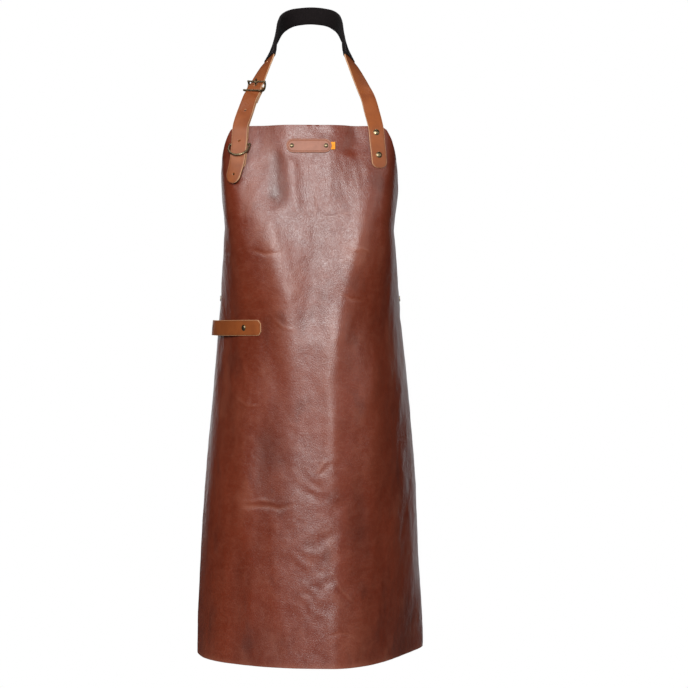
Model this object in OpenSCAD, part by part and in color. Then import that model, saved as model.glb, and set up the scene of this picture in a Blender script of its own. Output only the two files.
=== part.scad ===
// Leather bib apron with a buckled neck strap, a towel loop and a buckled waist strap.
// +Z is up, -Y is the front, +X is the right-hand side seen from the front.
// The origin is on the inside of the neck pad, at its lower edge, where a neck or a peg holds the apron up.
// Millimetres. "drop" is the distance down the panel from the top edge of the bib.

/* [Panel] */
// Height of the panel, from the top edge of the bib to the hem
panel_len = 862; // [840:1:880]
// Thickness of the panel's leather
leather_t = 2; // [1.6:0.1:2.2]
// Half the width across the hips, at the foot of the armholes
hip_half = 136; // [134:1:138]
// Half the width across the hem
hem_half = 187; // [184:1:190]
// Height of the armholes
armhole_h = 240; // [230:1:250]
// Distance from the neck to the front of the panel
front_depth = 200; // [196:1:204]
// Distance from the origin down to the top edge of the bib
bib_drop = 192; // [188:1:196]

/* [Straps] */
// Width of every strap
strap_w = 25; // [24:0.5:25.5]
// Thickness of every strap
strap_t = 2.4; // [2:0.1:2.5]
// Distance between adjustment holes
hole_pitch = 54.5; // [53:0.5:55]
// Distance from a strap's tip to its first hole
first_hole = 14; // [13:0.5:15]
// Diameter of the adjustment holes
hole_d = 3.6; // [3:0.1:4.4]
// Drop of the middle of the waist strap
waist_drop = 272; // [268:1:276]

/* [Neck pad] */
// Width of the padded sleeve
pad_w = 29; // [28:0.5:30]
// Thickness of the padded sleeve
pad_t = 7; // [6:0.5:7.5]
// Length of the padded sleeve
pad_len = 332; // [320:2:340]

/* [Hardware] */
// Radius of the large rivet caps
rivet_r = 4.9; // [4.5:0.1:5.2]
// Height of the large rivet caps
rivet_h = 1.6; // [1.3:0.1:1.8]
// Radius of the rivet posts
post_r = 1.5; // [1.2:0.1:1.6]
// Wire radius of the buckles' outer bars
buckle_r = 1.4; // [1.2:0.1:1.4]
// Wire radius of the D-ring
ring_r = 1.5; // [1.3:0.1:1.5]
// Distance from the D-ring's flat bar to the middle of its bow
ring_depth = 23.6; // [23.5:0.1:24]

/* [Label patch] */
// Length of the patch
patch_len = 72; // [68:1:74]
// Height of the patch
patch_h = 22.5; // [21:0.5:23]
// Drop of the middle of the patch
patch_drop = 33.5; // [31:0.5:36]

/* [Hidden] */

leather = [0.45, 0.18, 0.12];
tan_leather = [0.58, 0.30, 0.13];
patch_leather = [0.78, 0.52, 0.42];
brass = [0.45, 0.38, 0.24];
black_fabric = [0.07, 0.06, 0.07];
amber = [0.85, 0.45, 0.12];

gap = 0.15;                                // air between layers that lie on each other
on_panel = leather_t / 2 + gap + strap_t / 2;   // strap's middle above the panel's middle
tail_rise = 8.4;                           // middle of the loose tail above the panel's middle
strap_x = 107;                             // middle of the neck straps at the bib, off centre
rivet_drops = [10.8, 47.2];                // drops of the neck strap's two rivets
ring_drop = 30;                            // drop of the D-ring's flat bar
ring_rest = 30;                            // rest angle of the D-ring from hanging straight down

// ---- small helpers ----
function clamp01(v) = min(1, max(0, v));
function smooth(v) = let (c = clamp01(v)) c * c * (3 - 2 * c);
function mix(a, b, k) = a + (b - a) * k;
function unit(v) = v / norm(v);
function square_to(v, t) = unit(v - (v * t) * t);

// ---- the panel's middle face ----
// Seen from above, the panel is two quarter superellipses that meet at a soft ridge down the front.
ridge_soft = 0.006;     // how softly the two halves meet at the ridge
function ridge_x(t) = 30 * smooth((t - 100) / 350);
function half_w(t) = t < 160
    ? hip_half + 4 * (1 - t / 160)
    : mix(hip_half, hem_half, 1 - pow(1 - clamp01((t - 160) / (panel_len - 160)), 1.65));
function side_w(t, right) = right ? half_w(t) - ridge_x(t) : half_w(t) + ridge_x(t);
function side_d(t, right) = 125 + (right ? 95 : 88) * smooth(t / 300)
    + (right ? 18 : -13) * smooth((t - 300) / 560);
function power(t, right) = 6 - (right ? 4.1 : 3.9) * smooth(t / 330)
    - (right ? 0.45 : 0) * smooth((t - 330) / 530);
function wrap(t) = mix(46, 92, pow(clamp01(t / armhole_h), 0.9));
function lean(t) = -front_depth + 14 * pow(1 - clamp01(t / 250), 2);
function wing(a, t) = 1 + 0.045 * pow(sin(180 * clamp01(t / 170)), 2) * smooth((abs(a) - 50) / 25);
function set_back(x, t) = 16 * smooth((abs(x) - 30) / 55) * pow(1 - clamp01(t / 220), 2);

function skin(a, t) =
    let (right = a > 0, w = side_w(t, right), d = side_d(t, right), n = power(t, right),
         s = (sqrt(pow(sin(a), 2) + ridge_soft) - sqrt(ridge_soft)) / (sqrt(1 + ridge_soft) - sqrt(ridge_soft)),
         r = wing(a, t) * pow(pow(abs(cos(a)) / d, n) + pow(s / w, n), -1 / n),
         x = ridge_x(t) + r * sin(a))
    [x, lean(t) + d - r * cos(a) + set_back(x, t), -bib_drop - t];
function facing(a, t) = unit(cross(skin(a, t + 1) - skin(a, t - 1),
                                   skin(a + 0.5, t) - skin(a - 0.5, t)));
// The angle round the panel at which it is x off centre
function angle_at(x, t) =
    let (o = x - ridge_x(t), right = o > 0, n = power(t, right))
    atan2(o, side_d(t, right) * pow(1 - pow(abs(o) / side_w(t, right), n), 1 / n));

// A frame is [origin, across, along, out]
function panel_frame(a, t, up) =
    let (n = facing(a, t), y = square_to(up, n)) [skin(a, t), cross(y, n), y, n];
module place(f)
    multmatrix([[f[1][0], f[2][0], f[3][0], f[0][0]],
                [f[1][1], f[2][1], f[3][1], f[0][1]],
                [f[1][2], f[2][2], f[3][2], f[0][2]],
                [0, 0, 0, 1]]) children();

// ---- routes: smooth curves through stations [point, outward direction] ----
function spline(a, b, c, d, k) =
    0.5 * (2 * b + (c - a) * k + (2 * a - 5 * b + 4 * c - d) * k * k + (3 * b - a - 3 * c + d) * k * k * k);
function on_route(route, u, what) =
    let (last = len(route) - 1, i = min(last - 1, max(0, floor(u))), k = u - i)
    spline(route[max(0, i - 1)][what], route[i][what], route[i + 1][what], route[min(last, i + 2)][what], k);
function lengths(route, u = 0, s = 0) =
    u >= len(route) - 1 ? [[s, u]]
    : concat([[s, u]], lengths(route, u + 0.25, s + norm(on_route(route, u + 0.25, 0) - on_route(route, u, 0))));
function frame_on(route, table, s) =
    let (u = lookup(s, table), last = len(route) - 1,
         t = unit(on_route(route, min(last, u + 0.05), 0) - on_route(route, max(0, u - 0.05), 0)),
         n = square_to(on_route(route, u, 1), t))
    [on_route(route, u, 0), cross(t, n), t, n];
function end_of(table) = table[len(table) - 1][0];

// A path is a list of [point, across, width factor]
function path_on(route, table, list) =
    [for (q = list) let (f = frame_on(route, table, q[0])) [f[0] + q[1] * f[3], f[1], q[2]]];
function path_dir(path, i) =
    unit(path[min(len(path) - 1, i + 1)][0] - path[max(0, i - 1)][0]);
function ring(path, i, section) =
    let (t = path_dir(path, i), w = square_to(path[i][1], t), n = cross(w, t))
    [for (q = section) path[i][0] + q[0] * path[i][2] * w + q[1] * n];
function strap_section(w = strap_w, t = strap_t) =
    [[-w / 2, -t / 2], [w / 2, -t / 2], [w / 2, t / 2], [-w / 2, t / 2]];
module ribbon(path, section) {
    m = len(section);
    last = len(path) - 1;
    polyhedron(
        points = [for (i = [0 : last]) each ring(path, i, section)],
        faces = concat(
            [[for (p = [m - 1 : -1 : 0]) p]],
            [[for (p = [0 : m - 1]) last * m + p]],
            [for (i = [0 : last - 1], p = [0 : m - 1]) let (q = (p + 1) % m)
                each [[(i + 1) * m + q, (i + 1) * m + p, i * m + p],
                      [(i + 1) * m + q, i * m + p, i * m + q]]]),
        convexity = 10);
}
// How far along a strap its rings stand, closer together at a rounded end
function run(s0, s1, step, r0, r1) = concat(
    [for (k = [0, 0.08, 0.25, 0.5, 0.75]) if (r0 > 0) s0 + k * r0],
    let (n = ceil((s1 - r1 - s0 - r0) / step)) [for (i = [0 : n]) mix(s0 + r0, s1 - r1, i / n)],
    [for (k = [0.75, 0.5, 0.25, 0.08, 0]) if (r1 > 0) s1 - k * r1]);
// The same for a strap through a buckle, with more rings where it bends round the bars
function buckle_run(s0, s1, bar, r0, r1) = concat(
    run(s0, bar - 23, 9, r0, 0), [for (s = [bar - 19 : 19 / 6 : bar + 19.1]) s], run(bar + 23, s1, 9, 0, r1));
function end_factor(d, r, least) = (r <= 0 || d >= r) ? 1 : max(least, sqrt(1 - pow(1 - d / r, 2)));
function taper(s, s0, s1, r0, r1, least0, least1) =
    min(end_factor(s - s0, r0, least0), end_factor(s1 - s, r1, least1));

// ---- neck route: tip of the tail, up the left side, over the neck, down to the right rivets ----
function bib_station(x, t, rise) =
    let (a = angle_at(x, t), n = facing(a, t)) [skin(a, t) + rise * n, n];
function loop_station(x, y, h, turn, side) =
    [[side * x, y, h - bib_drop], [side * sin(turn), cos(turn), 0]];
// Half of the neck loop, from the collar to the nape: off centre, depth, height above the bib, facing
loop_half = [
    [95.5, -150, 46, 160], [88, -141, 64, 152], [80, -129, 83, 145], [72, -115, 102, 138],
    [64.5, -100, 119, 130], [59, -81, 140, 114], [54, -60, 161, 98], [50, -40, 178, 82],
    [43, -19, 191, 58], [28, -3, 201, 30]
];
neck_route = concat(
    [bib_station(-116, 92, tail_rise), bib_station(-110, 61, tail_rise), bib_station(-108, 40, tail_rise),
     bib_station(-107, 18, tail_rise), bib_station(-106, 1, tail_rise),
     [[-102, -166, 23 - bib_drop], [-0.2, -1, 0]]],
    [for (q = loop_half) loop_station(q[0], q[1], q[2], q[3], -1)],
    [loop_station(0, 3.5, 205, 0, 1)],
    [for (i = [len(loop_half) - 1 : -1 : 0]) let (q = loop_half[i]) loop_station(q[0], q[1], q[2], q[3], 1)],
    [[[101, -158, 25 - bib_drop], [0.2, -1, 0]],
     bib_station(strap_x - 1, 2, on_panel), bib_station(strap_x + 1, 25, on_panel),
     bib_station(strap_x + 3, 47, on_panel), bib_station(strap_x + 4, 68, on_panel)]);
neck_table = lengths(neck_route);
neck_end = end_of(neck_table);
neck_hole = first_hole + 3 * hole_pitch;   // the hole that the prong is in
neck_bar = neck_hole - 4.5;                // place of the buckle's centre bar
// The sleeve is centred on the nape, the station half-way along the loop
nape = lookup(6 + len(loop_half), [for (q = neck_table) [q[1], q[0]]]);

// ---- waist route: left side of the panel, round the back, right side of the panel ----
waist_rise = -leather_t / 2 - 0.6 - strap_t / 2;   // on the inside of the panel
function side_station(a, t) = let (n = facing(a, t)) [skin(a, t) + waist_rise * n, n];
back_w = 147.6;
back_y = 24;
back_d = 56;
waist_route = concat(
    [for (a = [-66 : -4 : -90]) side_station(a, waist_drop)],
    [for (f = [-80 : 10 : 80])
        [[back_w * sin(f), back_y + back_d * cos(f), -bib_drop - waist_drop], [sin(f), cos(f), 0]]],
    [for (a = [90 : -4 : 66]) side_station(a, waist_drop)]);
waist_table = lengths(waist_route);
waist_end = end_of(waist_table);
waist_tip = 120;
waist_hole = waist_tip + first_hole + 2 * hole_pitch;
waist_bar = waist_hole - 4.5;
keeper_at = waist_bar - 48;

// ---- a strap that passes through a buckle, and the strap that holds the buckle ----
// The through strap dips under both outer bars and rises over the centre bar.
bar_reach = 9.5;        // from the centre bar to each outer bar
bar_sink = -4.2;        // centre bar's height from the strap's middle line
bar_rise = 2.9;         // outer bars' height from the strap's middle line
centre_r = 1.2;         // radius of the centre bar
frame_half = 15.3;      // half the width of the buckle, to the middle of its side bars
side_t = 2.6;           // thickness of the side bars
function dip(d) = abs(d) > 2 * bar_reach ? 0
    : abs(d) > bar_reach ? -0.9 * smooth(2 - abs(d) / bar_reach) : 0.9 - 1.8 * smooth(abs(d) / bar_reach);
fold_r = centre_r + 0.1 + strap_t / 2;
function fold_list(bar) = concat(
    [[bar - 9.5, -3.7, 1], [bar - 4.5, -2.6, 1], [bar - 1.5, -1.9, 1]],
    [for (f = [0 : 30 : 180]) [bar + fold_r * sin(f), bar_sink + fold_r * cos(f), 1]],
    [[bar - 4, -6.6, 1], [bar - 14, -6.5, 1], [bar - 26, -6.75, 1]]);

// ================= sub-parts =================
columns = 40;
rows = 32;
function row_drop(j) = panel_len * pow(j / rows, 1.25);
function panel_point(i, j, out) =
    let (t = row_drop(j), a = wrap(t) * (2 * i / columns - 1)) skin(a, t) + out * facing(a, t);
module panel_sheet() {
    m = columns + 1;
    half = m * (rows + 1);
    polyhedron(
        points = concat(
            [for (j = [0 : rows], i = [0 : columns]) panel_point(i, j, leather_t / 2)],
            [for (j = [0 : rows], i = [0 : columns]) panel_point(i, j, -leather_t / 2)]),
        faces = concat(
            [for (j = [0 : rows - 1], i = [0 : columns - 1])
                let (a = j * m + i, b = a + 1, d = a + m, c = d + 1)
                each [[a, b, c], [a, c, d], [half + a, half + c, half + b], [half + a, half + d, half + c]]],
            [for (i = [0 : columns - 1]) each [[i + 1, i, half + i], [i + 1, half + i, half + i + 1]]],
            [for (i = [0 : columns - 1]) let (k = rows * m + i)
                each [[k, k + 1, half + k + 1], [k, half + k + 1, half + k]]],
            [for (j = [0 : rows - 1]) let (k = j * m)
                each [[k, k + m, half + k + m], [k, half + k + m, half + k]]],
            [for (j = [0 : rows - 1]) let (k = j * m + columns)
                each [[k + m, k, half + k], [k + m, half + k, half + k + m]]]),
        convexity = 10);
}

UP = [0, 0, 1];
right_rivets = [for (k = [0, 1]) panel_frame(angle_at(strap_x + [-0.4, 3][k], rivet_drops[k]), rivet_drops[k], UP)];
left_rivets = [for (k = [0, 1])
    panel_frame(angle_at(-strap_x - [-0.4, 1.2][k], rivet_drops[k]), rivet_drops[k], UP)];
patch_frame = panel_frame(angle_at(1, patch_drop), patch_drop, UP);
patch_rivet_x = 27.2;
loop_drop = 322;
loop_rivet_frames = [panel_frame(angle_at(-98.5, loop_drop), loop_drop, UP), panel_frame(-82, loop_drop, UP)];
waist_rivet_frames = [for (a = [-82, -74, 74, 82]) panel_frame(a, waist_drop, UP)];
patch_rivet_frames = [for (s = [-1, 1])
    [patch_frame[0] + s * patch_rivet_x * patch_frame[1], patch_frame[1], patch_frame[2], patch_frame[3]]];

module holes(frames, r = post_r + 0.05) {
    for (f = frames) place(f) cylinder(h = 18, r = r, center = true, $fn = 24);
}
cap_gap = 0.35;         // air under the flat cap, over a strap that isn't quite flat
burr_gap = 1.3;         // air over the flat burr, under a panel that is hollow on the inside
// Cap above the layers, and a post down through them; top is the height of the top layer's face
module rivet(top, cap_r = rivet_r, cap_h = rivet_h, r = post_r, under = burr_gap) {
    ball = (cap_r * cap_r + cap_h * cap_h) / (2 * cap_h);
    translate([0, 0, top + cap_gap]) intersection() {
        translate([0, 0, cap_h - ball]) sphere(r = ball, $fn = 48);
        cylinder(h = cap_h, r = cap_r, $fn = 48);
    }
    translate([0, 0, -leather_t / 2 - under - 1])
        cylinder(h = top + leather_t / 2 + 1.1 + under + cap_gap, r = r, $fn = 24);
}
module burr(r = 4.4, bore = post_r, under = burr_gap) {
    translate([0, 0, -leather_t / 2 - under - 1]) difference() {
        cylinder(h = 1, r = r, $fn = 48);
        translate([0, 0, -0.5]) cylinder(h = 2, r = bore + 0.03, $fn = 24);
    }
}
strap_top = on_panel + strap_t / 2;

module apron_panel() {
    color(leather) difference() {
        panel_sheet();
        holes(right_rivets);
        holes(left_rivets);
        holes(loop_rivet_frames);
        holes(waist_rivet_frames);
        holes(patch_rivet_frames, 1.15);
    }
}

module punched(route, table, places, d = hole_d) {
    for (s = places) place(frame_on(route, table, s)) cylinder(h = 8, d = d, center = true, $fn = 24);
}
// The slot that the prong has pulled in the hole it uses
module prong_slot(route, table, s) {
    place(frame_on(route, table, s)) {
        cube([3.4, 6, 8], center = true);
        for (k = [-1, 1]) translate([0, 3 * k, 0]) cylinder(h = 8, d = 3.4, center = true, $fn = 24);
    }
}
module neck_strap() {
    list = [for (s = buckle_run(0, neck_end, neck_bar, 13, 5))
        [s, dip(s - neck_bar), taper(s, 0, neck_end, 13, 5, 0.3, 0.75)]];
    color(tan_leather) difference() {
        ribbon(path_on(neck_route, neck_table, list), strap_section());
        punched(neck_route, neck_table, concat([for (k = [0, 1, 2, 4]) first_hole + k * hole_pitch]));
        prong_slot(neck_route, neck_table, neck_hole);
        holes(right_rivets);
    }
}
// Oval section of the sleeve, and the flat way through it that the strap fills
function oval(w, t, n, count) = [for (i = [0 : count - 1]) let (f = 360 * (i + 0.5) / count, c = cos(f), s = sin(f))
    [w / 2 * sign(c) * pow(abs(c), 2 / n), t / 2 * sign(s) * pow(abs(s), 2 / n)]];
module neck_pad() {
    list = [for (s = run(nape - pad_len / 2, nape + pad_len / 2, 9, 0, 0)) [s, 0, 1]];
    path = path_on(neck_route, neck_table, list);
    outer = oval(pad_w, pad_t, 5, 8);
    inner = oval(strap_w + 1.2, strap_t + 1.6, 30, 8);
    m = 8;
    last = len(path) - 1;
    half = m * (last + 1);
    color(black_fabric) polyhedron(
        points = concat([for (i = [0 : last]) each ring(path, i, outer)],
                        [for (i = [0 : last]) each ring(path, i, inner)]),
        faces = concat(
            [for (i = [0 : last - 1], p = [0 : m - 1]) let (q = (p + 1) % m, a = i * m, b = a + m)
                each [[b + q, b + p, a + p], [b + q, a + p, a + q],
                      [half + b + q, half + a + p, half + b + p], [half + b + q, half + a + q, half + a + p]]],
            [for (p = [0 : m - 1]) let (q = (p + 1) % m)
                each [[q, p, half + p], [q, half + p, half + q]]],
            [for (p = [0 : m - 1]) let (q = (p + 1) % m, b = last * m)
                each [[b + p, b + q, half + b + q], [b + p, half + b + q, half + b + p]]]),
        convexity = 10);
}
module buckle_strap() {
    low = strap_t / 2 + gap + leather_t / 2 - tail_rise;   // lying on the panel
    s_ring = 65;
    list = concat(
        [for (s = run(26, s_ring - 13, 8, 5, 0)) [s, low, end_factor(s - 26, 5, 0.75)]],
        [[s_ring - 8, low + 0.9, 1], [s_ring - 4, low + 2.7, 1], [s_ring, low + 3.35, 1],
         [s_ring + 4, low + 2.7, 1], [s_ring + 8, low + 0.9, 1]],
        [[s_ring + 13, low, 1], [84, low, 1], [95, low, 1], [106, -5.4, 1], [124, -4.6, 1], [142, -4.1, 1]],
        fold_list(neck_bar));
    color(tan_leather) difference() {
        ribbon(path_on(neck_route, neck_table, list), strap_section());
        holes(left_rivets);
        fold_slot(neck_route, neck_table, neck_bar);
    }
}
// The slot through the fold that the prong's eye turns in
module fold_slot(route, table, s) {
    place(frame_on(route, table, s)) translate([-2.1, -4.4, -9]) cube([4.2, 9.4, 9]);
}

module bar(p, q, r) {
    d = q - p;
    translate(p) rotate([0, acos(d[2] / norm(d)), atan2(d[1], d[0])]) cylinder(h = norm(d), r = r, $fn = 24);
}
module bars(points, r) {
    for (i = [0 : len(points) - 2]) bar(points[i], points[i + 1], r);
    for (p = points) translate(p) sphere(r = r, $fn = 24);
}
// Side view of a buckle's side bar: an arc down from one outer bar to the centre bar and up to the other
module side_bar_outline() {
    rise = bar_rise - bar_sink;
    bow = (bar_reach * bar_reach + rise * rise) / (2 * rise);   // radius of the arc
    half = asin(bar_reach / bow);
    arc = [for (k = [-8 : 8]) half * k / 8];
    polygon(concat([for (f = arc) [(bow + 1.3) * sin(f), bar_sink + bow - (bow + 1.3) * cos(f)]],
                   [for (i = [16 : -1 : 0]) [(bow - 1.3) * sin(arc[i]), bar_sink + bow - (bow - 1.3) * cos(arc[i])]]));
    for (s = [-1, 1]) translate([s * bar_reach, bar_rise]) circle(r = 1.6, $fn = 32);
}
module buckle_frame() {
    for (s = [-1, 1]) {
        translate([s * frame_half - side_t / 2, 0, 0]) rotate([90, 0, 90]) linear_extrude(side_t) side_bar_outline();
        translate([-frame_half, s * bar_reach, bar_rise]) rotate([0, 90, 0])
            cylinder(h = 2 * frame_half, r = buckle_r, $fn = 24);
    }
    translate([-frame_half, 0, bar_sink]) rotate([0, 90, 0]) cylinder(h = 2 * frame_half, r = centre_r, $fn = 24);
}
// A bent bar's side outline: both sides of a line through points, r apart from it
function beside(points, r) = [for (i = [0 : len(points) - 1])
    let (d = unit(points[min(len(points) - 1, i + 1)] - points[max(0, i - 1)])) points[i] + r * [-d[1], d[0]]];
module buckle_prong() {
    line = [[1.2, bar_sink + 1.2], [3.9, 0.2], [6.1, 4.4], [8.2, 5.55], [12.4, 5.9]];
    back = beside(line, -1);
    difference() {
        union() {
            translate([-1.5, 0, bar_sink]) rotate([0, 90, 0]) cylinder(h = 3, r = 2.35, $fn = 32);
            translate([-1.1, 0, 0]) rotate([90, 0, 90]) linear_extrude(2.2)
                polygon(concat(beside(line, 1), [for (i = [len(back) - 1 : -1 : 0]) back[i]]));
        }
        translate([-3, 0, bar_sink]) rotate([0, 90, 0]) cylinder(h = 6, r = centre_r + 0.08, $fn = 32);
    }
}
module neck_buckle_frame() {
    color(brass) place(frame_on(neck_route, neck_table, neck_bar)) buckle_frame();
}
module neck_buckle_prong() {
    color(brass) place(frame_on(neck_route, neck_table, neck_bar)) buckle_prong();
}

// D-ring: its flat bar lies under the buckle strap, and its bow rests on the loose tail
ring_half = 17;
ring_lift = leather_t / 2 + 0.2 + ring_r;
module d_ring() {
    frame = panel_frame(angle_at(-108, ring_drop), ring_drop, UP);
    arm = ring_depth - ring_half;
    color(brass) place(frame) translate([0, 0, ring_lift]) rotate([90 - ring_rest, 0, 0]) {
        bars([[-ring_half, 0, arm], [-ring_half, 0, 0], [ring_half, 0, 0], [ring_half, 0, arm]], ring_r);
        translate([0, 0, arm]) rotate([90, 0, 0])
            rotate_extrude(angle = 180, $fn = 64) translate([ring_half, 0]) circle(r = ring_r, $fn = 24);
    }
}

module right_strap_rivets() { color(brass) for (f = right_rivets) place(f) rivet(strap_top + 0.3); }
module right_strap_burrs() { color(brass) for (f = right_rivets) place(f) burr(); }
module left_strap_rivets() { color(brass) for (f = left_rivets) place(f) rivet(strap_top + 0.3); }
module left_strap_burrs() { color(brass) for (f = left_rivets) place(f) burr(); }

// Label patch with round ends; a shallow recess under its right end holds the tab
patch_t = 2;
patch_rest = leather_t / 2 + 0.25;
module label_patch() {
    flat = patch_len - patch_h;
    color(patch_leather) place(patch_frame) translate([0, 0, patch_rest]) difference() {
        linear_extrude(patch_t) {
            square([flat, patch_h], center = true);
            for (s = [-1, 1]) translate([s * flat / 2, 0]) circle(d = patch_h, $fn = 64);
        }
        for (s = [-1, 1]) translate([s * patch_rivet_x, 0, -1]) cylinder(h = 5, r = 1.15, $fn = 24);
        translate([patch_len / 2 - 6, -6.5, -1]) cube([10, 13, 2.1]);
    }
}
module patch_rivets() {
    color(brass) for (f = patch_rivet_frames) place(f) rivet(patch_rest + patch_t, 3.5, 1.2, 1.1);
}
module patch_burrs() {
    color(brass) for (f = patch_rivet_frames) place(f) burr(3.2, 1.1);
}
// A short piece of ribbon, folded double with its fold to the outside
module side_tab() {
    color(amber) place(patch_frame) translate([patch_len / 2 - 5.5, -6, leather_t / 2 + 0.35]) {
        cube([11, 12, 0.4]);
        translate([0, 0, 0.55]) cube([11, 12, 0.4]);
        translate([11, 0, 0]) cube([0.9, 12, 0.95]);
    }
}

// Towel loop: lies on the panel at both ends and stands off it round the hip
loop_shape = [[-27, 0], [-30, 0], [-33, 0.1], [-36, 0.3], [-40, 0.7], [-44, 1.4], [-48, 2.4], [-52, 3.6],
              [-56, 5], [-60, 6.5], [-64, 8], [-68, 9], [-72, 9], [-75, 7.2], [-77.5, 4.4], [-79.5, 2],
              [-81.2, 0.6], [-83, 0.1], [-85.5, 0], [-88, 0]];
loop_route = [for (q = loop_shape) let (n = facing(q[0], loop_drop))
    [skin(q[0], loop_drop) + (on_panel + 0.4 + q[1]) * n, n]];
loop_table = lengths(loop_route);
loop_end = end_of(loop_table);
module towel_loop() {
    list = [for (s = run(0, loop_end, 6, 6, 6)) [s, 0, taper(s, 0, loop_end, 6, 6, 0.6, 0.6)]];
    color(tan_leather) difference() {
        ribbon(path_on(loop_route, loop_table, list), strap_section());
        holes(loop_rivet_frames);
    }
}
module loop_rivets() { color(brass) for (f = loop_rivet_frames) place(f) rivet(strap_top + 1.2); }
module loop_burrs() { color(brass) for (f = loop_rivet_frames) place(f) burr(); }
module bar_tacks() {
    f = frame_on(loop_route, loop_table, loop_end - 62);
    color("black") place(f) for (k = [-1, 1]) translate([-4.5, 1.8 * k - 0.6, strap_t / 2 + 0.02]) cube([9, 1.2, 0.5]);
}

module waist_strap_left() {
    list = concat(
        [for (s = run(0, 86, 8, 6, 0)) [s, 0, end_factor(s, 6, 0.75)]],
        [[95, -0.9, 1], [105, -2.8, 1]],
        [for (s = run(115, waist_bar - 18, 9, 0, 0)) [s, -4.2, 1]],
        fold_list(waist_bar));
    color(tan_leather) difference() {
        ribbon(path_on(waist_route, waist_table, list), strap_section());
        holes(waist_rivet_frames);
        fold_slot(waist_route, waist_table, waist_bar);
    }
}
module waist_strap_right() {
    list = [for (s = buckle_run(waist_tip, waist_end, waist_bar, 12, 6))
        [s, dip(s - waist_bar), taper(s, waist_tip, waist_end, 12, 6, 0.3, 0.75)]];
    color(tan_leather) difference() {
        ribbon(path_on(waist_route, waist_table, list), strap_section());
        punched(waist_route, waist_table, [for (k = [0, 1, 3, 4]) waist_tip + first_hole + k * hole_pitch]);
        prong_slot(waist_route, waist_table, waist_hole);
        holes(waist_rivet_frames);
    }
}
module waist_buckle_frame() {
    color(brass) place(frame_on(waist_route, waist_table, waist_bar)) buckle_frame();
}
module waist_buckle_prong() {
    color(brass) place(frame_on(waist_route, waist_table, waist_bar)) buckle_prong();
}
// A leather band round both straps
module waist_keeper() {
    in_w = strap_w + 1.2;
    low = -4.2 - strap_t / 2 - 0.9;
    high = strap_t / 2 + 0.9;
    wall = 1.6;
    color(tan_leather) place(frame_on(waist_route, waist_table, keeper_at)) difference() {
        translate([-in_w / 2 - wall, -6, low - wall]) cube([in_w + 2 * wall, 12, high - low + 2 * wall]);
        translate([-in_w / 2, -8, low]) cube([in_w, 16, high - low]);
    }
}
// The waist straps lie inside the panel, so their rivets' caps are on the inside
module waist_rivets() {
    color(brass) for (f = waist_rivet_frames) place(f) rotate([180, 0, 0])
        rivet(strap_t / 2 - waist_rise + 0.3, under = 0.3);
}
module waist_burrs() { color(brass) for (f = waist_rivet_frames) place(f) rotate([180, 0, 0]) burr(under = 0.3); }

apron_panel();
neck_strap();
neck_pad();
buckle_strap();
neck_buckle_frame();
neck_buckle_prong();
d_ring();
right_strap_rivets();
right_strap_burrs();
left_strap_rivets();
left_strap_burrs();
label_patch();
patch_rivets();
patch_burrs();
side_tab();
towel_loop();
loop_rivets();
loop_burrs();
bar_tacks();
waist_strap_left();
waist_strap_right();
waist_buckle_frame();
waist_buckle_prong();
waist_keeper();
waist_rivets();
waist_burrs();
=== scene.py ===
"""Leather bib apron: the visual model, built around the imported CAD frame.

Lengths are in millimetres until a mesh is made; "t" is the drop below the top edge of the bib.
"""

import math

import bpy
import numpy as np
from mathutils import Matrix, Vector, noise


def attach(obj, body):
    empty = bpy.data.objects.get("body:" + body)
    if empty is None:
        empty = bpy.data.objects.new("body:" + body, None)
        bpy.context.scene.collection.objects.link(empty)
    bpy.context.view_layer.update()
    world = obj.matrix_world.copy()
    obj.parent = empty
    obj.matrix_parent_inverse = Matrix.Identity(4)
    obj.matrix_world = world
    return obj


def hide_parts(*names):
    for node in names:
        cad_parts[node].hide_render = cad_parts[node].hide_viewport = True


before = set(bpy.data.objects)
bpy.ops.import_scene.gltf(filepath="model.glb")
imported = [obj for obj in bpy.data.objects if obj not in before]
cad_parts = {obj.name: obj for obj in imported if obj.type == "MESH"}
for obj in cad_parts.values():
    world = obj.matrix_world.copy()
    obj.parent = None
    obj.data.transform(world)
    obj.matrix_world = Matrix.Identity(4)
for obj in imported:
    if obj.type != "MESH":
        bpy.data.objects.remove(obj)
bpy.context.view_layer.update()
MM = 0.001

# ---------------------------------------- camera
scene = bpy.context.scene
camera_data = bpy.data.cameras.new("camera")
camera_data.lens = 102.5
camera_data.sensor_width = 36.0
camera = bpy.data.objects.new("camera", camera_data)
camera.location = (0.0565, -3.3, -0.5401)
camera.rotation_euler = (math.pi / 2, 0.0, 0.0)
scene.collection.objects.link(camera)
scene.camera = camera

# ---------------------------------------- the panel's middle face
PANEL_LEN = 862.0
LEATHER_T = 2.0
STRAP_W = 25.0
STRAP_T = 2.4
HIP_HALF = 136.0
HEM_HALF = 187.0
ARMHOLE_H = 240.0
FRONT_DEPTH = 200.0
BIB_DROP = 192.0
RIDGE_SOFT = 0.006
ON_PANEL = LEATHER_T / 2 + 0.15 + STRAP_T / 2    # strap's middle above the panel's middle
TAIL_RISE = 8.4
FIRST_HOLE = 14.0
HOLE_PITCH = 54.5
HOLE_TO_BAR = 4.5
NECK_IN_USE, WAIST_IN_USE = 3, 2        # which hole each prong stands in, counted from 0
WAIST_DROP = 272.0
LOOP_DROP = 322.0
RIVET_DROPS = (10.8, 47.2)
STRAP_X = 107.0
UP = np.array([0.0, 0.0, 1.0])


def smooth(v):
    c = np.clip(v, 0.0, 1.0)
    return c * c * (3 - 2 * c)


def mix(a, b, k):
    return a + (b - a) * k


def unit(v):
    return v / np.linalg.norm(v, axis=-1, keepdims=True)


def square_to(v, t):
    return unit(v - np.sum(v * t, axis=-1, keepdims=True) * t)


def ridge_x(t):
    return 30 * smooth((t - 100) / 350)


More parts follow.
